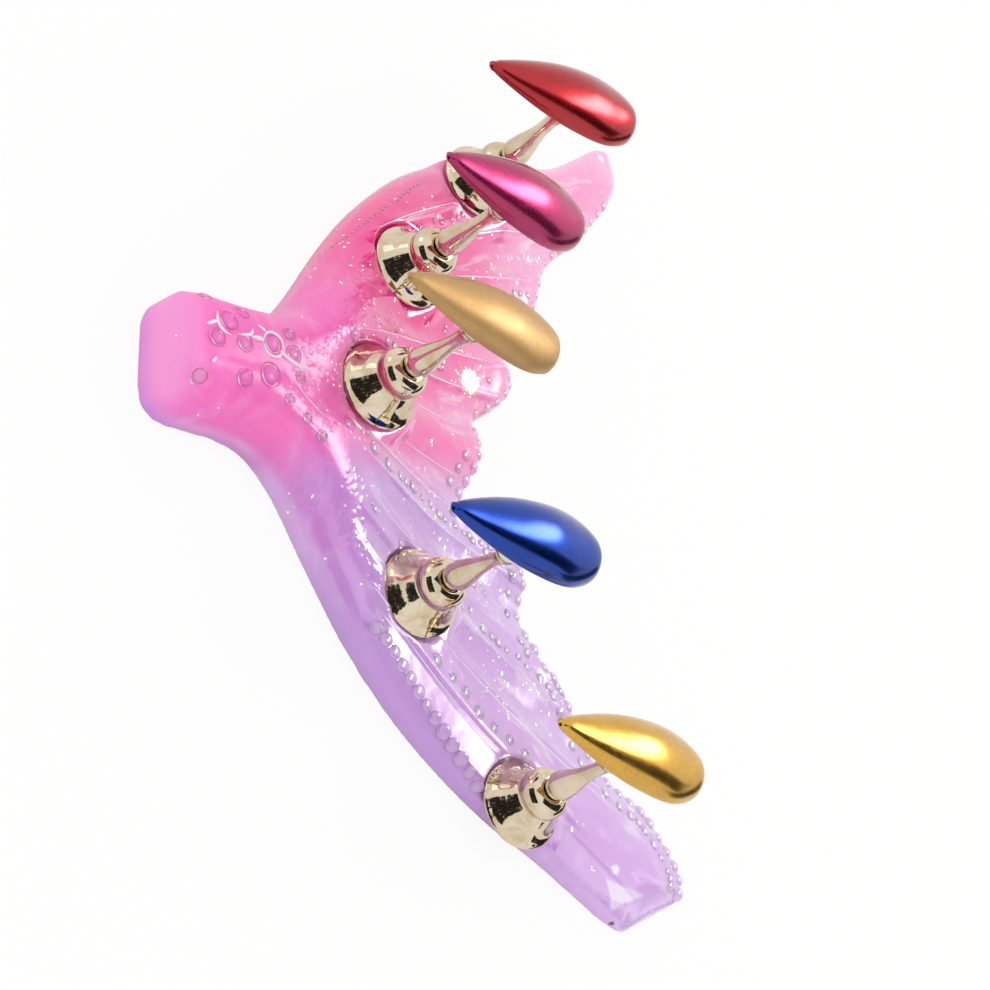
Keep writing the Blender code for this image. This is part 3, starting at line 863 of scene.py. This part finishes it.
def trailingEdge():
    points = []
    x = pearlSet["edgeSpan"][0]
    while x < pearlSet["edgeSpan"][1]:
        hit = surface.ray_cast(Vector((x, 120 * mm, 1.6 * mm)), Vector((0, -1, 0)))[0]
        if hit:
            points.append(hit)
        x += 0.2 * mm
    return points


# A flat bead on the surface, left out where it would meet a bell.
def addBead(pieces, base, x, y, reach, radius, rolls, least, most):
    ground, normal = groundAt(x, y)
    if ground is None or nearBell(x, y, reach):
        return
    size = radius * rolls.uniform(least, most)
    addCopy(pieces, base, standOn(ground - normal * size * 0.05, normal, size,
                                  pearlSet["flat"]))


def makePearls():
    base = makePearl()
    pieces = []
    rolls = random.Random(5)
    for row in pearlSet["rows"]:
        for x, y, radius in rowPlaces(*row):
            least = 0.88
            if row[1] < pearlSet["looseUnder"]:
                least = 0.55
                x += rolls.uniform(-0.5, 0.5) * mm
                y += rolls.uniform(-0.8, 0.8) * mm
                if rolls.random() < pearlSet["rowGaps"]:
                    continue
            addBead(pieces, base, x, y, pearlSet["rowReach"], radius, rolls, least, 1.1)
    edge = trailingEdge()
    walked = 0
    for before, point, after in zip(edge, edge[1:], edge[2:]):
        walked += (point - before).length
        if walked < pearlSet["edgePitch"]:
            continue
        walked = 0
        along = (after - before).normalized()
        inward = along.cross(Vector((0, 0, 1))).normalized()
        ground = groundAt(*(point + inward * 1.6 * mm).xy)[0]
        if ground is None:
            continue
        size = pearlSet["edgeRadius"] * rolls.uniform(0.9, 1.08)
        size *= 1 if point.x > 0 else pearlSet["edgeLeft"]
        centre = point + inward * pearlSet["edgeInset"]
        centre.z = ground.z - pearlSet["edgeDrop"]
        addCopy(pieces, base, standOn(centre, Vector((0, 0, 1)), size))
        for inset, radius, pitch in pearlSet["innerRows"] if point.x > 0 else []:
            inner = point + inward * inset * mm
            addBead(pieces, base, inner.x, inner.y, pearlSet["innerReach"], radius * mm,
                    rolls, 0.8, 1.15)
    pearls = joinPieces(pieces, "tail_pearls")
    bpy.data.objects.remove(base)
    return pearls


pearls = makePearls()
mapTail(pearls)
dress(pearls, pearlResin, "tail", "resin")
print("pearls set,", len(pearls.data.polygons), "faces")


# bubbles and strands: rings with a low dome on the root, thin raised lines along the fan
ringSet = {
    "rim": 0.12 * mm,
    # place and radius in mm
    "rings": [
        (-1.4, -51.1, 1.9), (2.2, -53.3, 1.5), (1.3, -47.9, 1.5), (-0.4, -42.3, 1.7),
        (-0.2, -37.9, 1.5), (4.9, -42.5, 2.0), (7.0, -47.3, 1.5), (8.9, -55.4, 1.4),
        (-4.6, -47.5, 1.2), (-3.6, -38.6, 1.1), (3.3, -36.4, 1.0), (7.6, -38.2, 0.9),
        (9.6, -34.4, 0.8), (11.6, -31.2, 0.9), (-5.6, -54.0, 1.0),
        (40.7, -2.3, 1.15), (42.6, 1.6, 0.8), (44.2, 4.8, 1.0), (46.9, 7.8, 1.15),
        (48.6, 11.5, 0.9), (49.8, 15.2, 0.85), (51.4, 18.8, 0.9),
    ],
    # painted highlights: white crescents inside each ring, where its glints fall; middle and half
    # span in degrees, share of the radius
    "glintCrescents": [(-50, 42, 0.86), (150, 16, 0.80)],
    "glintCrescentRadius": 0.14,
    "domeShare": 0.82,
    "domeFlat": 0.36,
}
strandSet = {
    "sides": 6,
    # side, share of the fan, from and to beyond the root's end, radius in mm
    "lines": [
        (1, 0.820, 42, 100, 0.17), (1, 0.845, 46, 92, 0.11), (1, 0.700, 44, 98, 0.16),
        (1, 0.680, 50, 96, 0.12), (1, 0.560, 46, 90, 0.13), (1, 0.470, 44, 88, 0.14),
        (1, 0.300, 36, 80, 0.16), (1, 0.200, 34, 76, 0.16), (1, 0.080, 40, 70, 0.11),
        (-1, 0.820, 42, 92, 0.14), (-1, 0.700, 44, 90, 0.14), (-1, 0.560, 46, 84, 0.12),
        (-1, 0.470, 44, 82, 0.13), (-1, 0.300, 36, 76, 0.15), (-1, 0.200, 34, 72, 0.14),
        (-1, 0.080, 40, 68, 0.11),
    ],
    # the web of strands between the rings: points in mm, radius in mm
    "web": [
        ([(-2.6, -53.2), (-0.6, -53.4), (0.6, -52.4), (0.9, -50.6)], 0.36),
        ([(-0.6, -53.4), (0.4, -55.2)], 0.34),
        ([(5.6, -53.4), (6.6, -54.0)], 0.30),
        ([(0.3, -49.4), (-0.4, -47.0), (-1.8, -46.2)], 0.30),
        ([(-0.2, -46.6), (-0.5, -44.0)], 0.42),
        ([(-2.2, -43.6), (-3.0, -45.2)], 0.24),
        ([(-0.4, -44.3), (-1.9, -43.6), (-2.5, -42.0), (-1.7, -40.5), (-0.2, -40.2)], 0.27),
        ([(-0.4, -44.3), (1.2, -43.6), (1.7, -42.2), (1.2, -40.8), (-0.2, -40.2)], 0.27),
        ([(0.2, -41.0), (0.9, -39.4), (1.5, -36.8), (1.2, -34.6)], 0.40),
        ([(1.5, -36.8), (2.6, -35.6)], 0.18),
        ([(-1.6, -36.4), (-0.2, -33.2), (1.0, -30.0)], 0.12),
        ([(6.3, -39.6), (8.4, -37.4), (10.4, -33.6), (12.4, -29.6)], 0.11),
        ([(4.4, -37.6), (6.6, -34.6), (8.6, -30.6)], 0.10),
    ],
}


def makeRings():
    pieces = []
    pearl = makePearl()
    for x, y, radius in ringSet["rings"]:
        ground, normal = groundAt(x * mm, y * mm)
        if ground is None:
            continue
        turn = Matrix.Translation(ground) @ normal.to_track_quat("Z", "Y").to_matrix().to_4x4()
        deselectAll()
        bpy.ops.mesh.primitive_torus_add(major_segments=36, minor_segments=8,
                                         major_radius=radius * mm,
                                         minor_radius=ringSet["rim"])
        rim = bpy.context.object
        bpy.ops.object.shade_smooth()
        placeMesh(rim, turn)
        pieces.append(rim)
        size = radius * mm * ringSet["domeShare"]
        addCopy(pieces, pearl, standOn(ground - normal * 0.12 * mm, normal, size,
                                       ringSet["domeFlat"]))
    bpy.data.objects.remove(pearl)
    return joinPieces(pieces, "root_rings")


# A strand is extruded straight up as a tapered rod, then laid along its path.
def makeStrand(path, radius):
    steps = len(path) - 1
    rings = []
    for index in range(steps + 1):
        share = index / steps
        taper = min(1.0, 0.12 + 3 * min(share, 1 - share))
        rings.append((radius * taper, float(index) * mm))
    strand = turnPiece("strand", rings, strandSet["sides"])
    points = meshPoints(strand)
    for point in points:
        index = min(steps, max(0, round(point[2] / mm)))
        ahead = path[min(steps, index + 1)][0] - path[max(0, index - 1)][0]
        along = ahead.normalized()
        centre, normal = path[index]
        side = along.cross(normal).normalized()
        point[:] = centre + side * point[0] + normal * point[1]
    setMeshPoints(strand, points)
    makeActive(strand)
    editWhole()
    faceOutward()
    bpy.ops.object.shade_smooth()
    return strand


def groundPath(places):
    path = []
    for x, y in places:
        ground, normal = groundAt(x, y)
        if ground is None or nearBell(x, y, 7.9 * mm):
            if len(path) > 4:
                return path
            path = []
            continue
        path.append((ground, normal))
    return path


def makeStrands():
    strands = []        # places in metres, radius in mm, how many places are too few
    for side, share, start, end, radius in strandSet["lines"]:
        places = []
        y = tailSet["rootEnd"] + start * mm
        while y < tailSet["rootEnd"] + end * mm:
            places.append((fanX(side * share, y), y))
            y += 1 * mm
        strands.append((places, radius, 4))
    for points, radius in strandSet["web"]:
        strands.append((inMetres(throughPoints(points, 5)), radius, 2))
    # painted highlights: white crescent strands inside each ring
    for x, y, radius in ringSet["rings"]:
        for middle, span, share in ringSet["glintCrescents"]:
            angles = [math.radians(middle - span + step * span / 4) for step in range(9)]
            places = [(x + radius * share * math.cos(angle),
                       y + radius * share * math.sin(angle)) for angle in angles]
            strands.append((inMetres(places), ringSet["glintCrescentRadius"], 2))
    paths = [(groundPath(places), radius, few) for places, radius, few in strands]
    return joinPieces([makeStrand(path, radius * mm) for path, radius, few in paths
                       if len(path) > few], "tail_strands")


rings = makeRings()
mapTail(rings)
dress(rings, resin, "tail", "resin")
strands = makeStrands()
# the strands are raised lines of resin; their near-white colour and glow are painted highlight
dress(strands, paintedGlintResin, "tail", "resin")
print("rings and strands laid,", len(strands.data.polygons), "faces")


# bells: turned in one piece, with a pocket and a socket for the magnets
bellSet = {
    "sides": 96,
    "lift": 0.3 * mm,
    # radius and height in mm
    "pocket": [(3.3, 2.6), (3.3, 0.0), (7.1, 0.0)],
    "outside": [
        (7.1, 0.0), (7.1, 0.0), (7.38, 0.08), (7.50, 0.30), (7.47, 0.55), (7.28, 0.78),
        (6.55, 1.45), (5.75, 2.55), (5.10, 3.70), (4.50, 4.65), (4.16, 5.20), (4.16, 5.75),
        (4.38, 6.45), (4.30, 7.25), (3.92, 8.02), (3.30, 8.62), (2.60, 9.00), (2.20, 9.10),
        (2.20, 9.10),
    ],
    "socket": [(1.5, 9.1), (1.5, 4.1)],
}
stemSet = {
    "sides": 64,
    "top": 24.0 * mm,
    "foot": [(1.10, 6.5), (1.20, 6.6), (1.20, 9.4)],
    "outside": [
        (1.90, 9.4), (1.90, 9.4), (2.00, 9.46), (2.02, 9.80), (1.94, 10.02), (1.78, 10.08),
        (1.78, 10.08), (1.66, 10.14), (1.66, 10.36), (1.80, 10.42), (1.80, 10.42),
        (2.18, 10.46), (2.36, 10.60), (2.47, 10.95), (2.46, 11.50), (2.38, 12.20),
        (2.20, 13.20), (1.90, 14.60), (1.60, 16.00),
        (1.36, 17.50), (1.20, 19.00), (1.20, 20.40), (1.28, 21.70), (1.50, 22.75),
        (1.80, 23.30), (1.90, 23.44), (1.90, 23.44), (1.90, 23.86), (1.90, 23.86),
        (1.78, 23.97), (1.60, 24.0), (1.60, 24.0),
    ],
}
puttySet = {
    "sides": 32,
    # radius in mm, share of the height
    "rings": [
        (0.9, 0.0), (1.55, 0.003), (1.85, 0.04), (2.02, 0.14), (2.08, 0.32), (2.00, 0.57),
        (1.85, 0.76), (1.45, 0.89), (0.9, 0.97), (0.15, 1.0),
    ],
    "lump": 0.1375,         # how far the sides swell, as a share of the radius
    "lumpSize": 1.6 * mm,
}


# nail tips: a curved sheet with a wall, narrow at the point and full near the cuticle end
nailSet = {
    "length": 31.0 * mm,
    "width": 13.3 * mm,
    "arch": 4.6 * mm,
    "wall": 0.6 * mm,
    "rim": 0.12 * mm,
    "disc": 24.3 * mm,
    "rows": 56,
    "columns": 28,
    "puttyGap": 2.6,           # from a tip's edges up to its putty's top, in mm
    # along the nail from its point: share of length, of width and of arch
    "outline": [
        (-0.024, 0.020, 0.02), (-0.021, 0.085, 0.10), (-0.010, 0.132, 0.18),
        (0.012, 0.158, 0.24), (0.040, 0.240, 0.32), (0.150, 0.448, 0.49),
        (0.300, 0.680, 0.72), (0.450, 0.846, 0.91), (0.600, 0.935, 1.00), (0.720, 0.963, 0.96),
        (0.820, 0.924, 0.88), (0.900, 0.809, 0.82), (0.960, 0.667, 0.74), (0.986, 0.545, 0.65),
        (1.001, 0.370, 0.47), (1.009, 0.130, 0.16),
    ],
    # colour; turn, pitch and roll in degrees; share of the length from the point to the
    # disc; shift to the side and up in mm
    "tips": [
        ("red", 1.07, 2.54, -3.97, 0.564, 1.46, 2.27),
        ("magenta", -0.74, -5.25, 0.46, 0.491, 1.81, 2.61),
        ("champagne", -4.00, -2.24, -9.78, 0.496, 1.98, 2.08),
        ("blue", 0.69, -2.96, -2.92, 0.470, 2.39, 2.85),
        ("gold", -3.21, -2.10, -6.40, 0.469, 1.36, 2.50),
    ],
}


def standFrame(stand):
    axis = Vector(stand["axis"]).normalized()
    side = Vector((0, 1, 0)).cross(axis).normalized()
    turn = Matrix((side, axis.cross(side), axis)).transposed().to_4x4()
    return Matrix.Translation(Vector(stand["pos_m"])) @ turn


def makeBell():
    rings = bellSet["pocket"][:2] + throughPoints(bellSet["outside"], 3) + bellSet["socket"]
    return turnPiece("bell", inMetres(rings), bellSet["sides"])


def makeStem():
    rings = stemSet["foot"] + throughPoints(stemSet["outside"], 2)
    return turnPiece("stem", inMetres(rings), stemSet["sides"])


def makePutty(number, height):
    rings = [(radius, share * height) for radius, share in throughPoints(puttySet["rings"], 2)]
    putty = turnPiece("putty_pad_%d" % number, inMetres(rings), puttySet["sides"])
    points = meshPoints(putty)
    for point in points:
        place = Vector(point) / puttySet["lumpSize"] + Vector((number * 7.3, 0, 0))
        point[:2] *= 1 + noise.noise(place) * puttySet["lump"]
    setMeshPoints(putty, points)
    return putty


bell = makeBell()
stem = makeStem()
for number, (stand, tip) in enumerate(zip(stands, nailSet["tips"]), start=1):
    place = standFrame(stand) @ Matrix.Translation((0, 0, bellSet["lift"]))
    bellCopy = copyPiece(bell, "bell_skin_%d" % number)
    placeMesh(bellCopy, place)
    dress(bellCopy, plating, "bell_%d" % number, "plating", "bell_base_%d" % number)
    stemCopy = copyPiece(stem, "stem_skin_%d" % number)
    placeMesh(stemCopy, place)
    dress(stemCopy, plating, "holder_%d" % number, "plating", "stem_%d" % number)
    putty = makePutty(number, nailSet["puttyGap"] + tip[6])
    placeMesh(putty, place @ Matrix.Translation((0, 0, stemSet["top"])))
    dress(putty, puttyGel, "holder_%d" % number, "putty", "putty_%d" % number)
bpy.data.objects.remove(bell)
bpy.data.objects.remove(stem)
for name, node in frame["nodes"].items():
    if "magnet" in name:
        for slot in node.material_slots:
            slot.material = magnetMetal
print("bells, stems and putty placed")


def makeNail(number, stand, turn, pitch, roll, grip, aside, lift):
    deselectAll()
    bpy.ops.mesh.primitive_grid_add(x_subdivisions=nailSet["columns"],
                                    y_subdivisions=nailSet["rows"], size=2)
    nail = bpy.context.object
    nail.name = "nail_shell_%d" % number
    outline = np.array(throughPoints(nailSet["outline"], 8))
    points = meshPoints(nail)
    angle = (points[:, 0] + 1) / 2 * math.pi
    even = (points[:, 1] + 1) / 2
    along = 0.4 * even + 0.3 * (1 - np.cos(even * math.pi))      # rows crowd at both ends
    along = outline[0, 0] + along * (outline[-1, 0] - outline[0, 0])
    width = np.interp(along, outline[:, 0], outline[:, 1]) * nailSet["width"] / 2
    arch = np.interp(along, outline[:, 0], outline[:, 2]) * nailSet["arch"]
    points[:, 0] = -width * np.cos(angle) - aside * mm
    points[:, 1] = (along - grip) * nailSet["length"]
    points[:, 2] = arch * np.sin(angle)
    setMeshPoints(nail, points)
    editWhole()
    faceOutward()
    middle = nail.data.polygons[len(nail.data.polygons) // 2]
    if middle.normal.z < 0:
        nail.data.flip_normals()
    wall = nail.modifiers.new("wall", "SOLIDIFY")
    wall.thickness = nailSet["wall"]
    wall.offset = -1
    wall.use_even_offset = True
    rim = nail.modifiers.new("rim", "BEVEL")
    rim.width = nailSet["rim"]
    rim.segments = 2
    rim.limit_method = "ANGLE"
    rim.angle_limit = math.radians(55)
    applyModifiers(nail)
    bpy.ops.object.shade_smooth_by_angle(angle=math.radians(50))
    disc = Vector(stand["pos_m"]) + Vector(stand["axis"]).normalized() * nailSet["disc"]
    disc.z += lift * mm
    placeMesh(nail, Matrix.Translation(disc) @ Matrix.Rotation(math.radians(turn), 4, "Z")
              @ Matrix.Rotation(math.radians(pitch), 4, "X")
              @ Matrix.Rotation(math.radians(roll), 4, "Y"))
    return nail


for number, (stand, tip) in enumerate(zip(stands, nailSet["tips"]), start=1):
    nail = makeNail(number, stand, *tip[1:])
    dress(nail, lacquers[tip[0]], "holder_%d" % number, "nail_" + tip[0],
          "nail_tip_%d" % number)
print("nail tips made")


# studio: a pale floor, a softbox over the far side, and cards that only gloss sees
studioSet = {
    "floor": 8.0,
    "floorColour": "f4f2f0",
    "floorGlow": 0.9,
    "worldLight": 0.98,
    # direction, distance, width, height and spin of a lamp, and its power in watts
    "lamps": [
        ((-0.23, 0.53, 0.82), 1.4, 0.56, 1.20, 36, 3.0),
    ],
    # direction, distance, width, height and spin of a card
    "darkCards": [
        ((0.42, 0.45, 0.79), 1.2, 0.66, 1.80, 36),
        ((0.26, -0.89, 0.37), 1.2, 1.55, 1.00, 0),
        ((0.36, 0.93, 0.10), 1.2, 1.10, 0.50, 0),
    ],
    "brightCards": [
        ((-0.66, -0.70, 0.17), 1.2, 0.34, 0.50, 0),
    ],
    "glareCards": [
        ((-0.21, 0.55, 0.81), 1.3, 0.56, 1.50, 36),
    ],
    "glare": 10.5,
}


def aimAt(piece, direction, distance, spin):
    away = Vector(direction).normalized()
    piece.matrix_world = (Matrix.Translation(away * distance)
                          @ away.to_track_quat("Z", "Y").to_matrix().to_4x4()
                          @ Matrix.Rotation(math.radians(spin), 4, "Z"))


def makeFloor():
    deselectAll()
    bpy.ops.mesh.primitive_plane_add(size=studioSet["floor"])
    floor = bpy.context.object
    floor.name = "studio_floor"
    material, tree, shader = newMaterial("studio_white", 0.9)
    setSockets(shader, {"Base Color": studioSet["floorColour"]})
    glow = addNode(tree, "Emission", ((1, 1, 1),))
    path = addNode(tree, "LightPath").outputs
    seen = times(path["Is Camera Ray"], studioSet["floorGlow"])
    mix = addNode(tree, "MixShader", (seen, shader.outputs[0], glow.outputs[0]))
    setSockets(tree.nodes["Material Output"], {"Surface": mix.outputs[0]})
    floor.data.materials.append(material)


def makeWorld():
    world = bpy.data.worlds.new("studio")
    world.use_nodes = True
    path = addNode(world.node_tree, "LightPath").outputs
    seen = larger(path["Is Camera Ray"], path["Is Glossy Ray"])
    seen = larger(seen, path["Is Transmission Ray"])
    light = studioSet["worldLight"]
    setSockets(world.node_tree.nodes["Background"],
               {"Color": (1, 1, 1), "Strength": timesPlus(seen, 1 - light, light)})
    bpy.context.scene.world = world


# A softbox is brightest in its middle and fades towards its edge.
def fadeLamp(lamp):
    lamp.data.use_nodes = True
    tree = lamp.data.node_tree
    place = addNode(tree, "NewGeometry").outputs["Parametric"]
    away = addNode(tree, "VectorMath", (place, (0.5, 0.5, 0)), operation="DISTANCE")
    setSockets(tree.nodes["Emission"],
               {"Strength": smoothStep(away.outputs["Value"], 0.5, 0.08, 0.0, 2.2)})


def makeLamps():
    for number, row in enumerate(studioSet["lamps"], start=1):
        direction, distance, width, height, spin, power = row
        deselectAll()
        bpy.ops.object.light_add(type="AREA")
        lamp = bpy.context.object
        lamp.name = "softbox_%d" % number
        lamp.data.shape = "RECTANGLE"
        lamp.data.size = width
        lamp.data.size_y = height
        lamp.data.energy = power
        fadeLamp(lamp)
        lamp.visible_glossy = False
        aimAt(lamp, direction, distance, spin)


def makeGlow():
    material, tree, shader = newMaterial("card_white", 0.9)
    setSockets(shader, {"Emission Color": (1, 1, 1), "Emission Strength": 0.9})
    return material


# The long reflection on gloss is brightest in its middle and fades towards its edge.
def makeGlare():
    material, tree, shader = newMaterial("card_glare", 0.9)
    away = distanceTo(objectPlace(tree), (0, 0, 0))
    setSockets(shader, {
        "Emission Color": (1, 1, 1),
        "Emission Strength": smoothStep(away, 0.5, 0.14, 1.0, studioSet["glare"]),
        "Alpha": smoothStep(away, 0.5, 0.46),
    })
    return material


def makeBlack():
    material, tree, shader = newMaterial("card_black", 0.9)
    place = objectPlace(tree)
    x, y, z = splitPlace(place)
    shade = smoothStep(addNoise(place, 5.0, 4, 0.6), 0.50, 0.75)
    # frayed edges, and holes through the card where the finer noise is high
    holes = addNoise(place, 9.0, 7, 0.75, 0.4)
    edge = timesPlus(holes, 0.35, larger(addMath("ABSOLUTE", x), addMath("ABSOLUTE", y)))
    setSockets(shader, {
        "Base Color": mixColours(shade, (0.004, 0.003, 0.003), "4a3a28"),
        "Alpha": times(smoothStep(holes, 0.64, 0.60), smoothStep(edge, 0.64, 0.61)),
    })
    return material


def makeCards(name, rows, material):
    for number, (direction, distance, width, height, spin) in enumerate(rows, start=1):
        deselectAll()
        bpy.ops.mesh.primitive_plane_add(size=1)
        card = bpy.context.object
        card.name = "%s_%d" % (name, number)
        card.data.materials.append(material)
        aimAt(card, direction, distance, spin)
        card.scale = (width, height, 1)
        for kind in ("camera", "diffuse", "transmission", "shadow"):
            setattr(card, "visible_" + kind, False)


makeFloor()
makeWorld()
makeLamps()
makeCards("dark_card", studioSet["darkCards"], makeBlack())
makeCards("bright_card", studioSet["brightCards"], makeGlow())
makeCards("glare_card", studioSet["glareCards"], makeGlare())
bpy.context.scene.view_settings.view_transform = "Standard"
print("studio set")
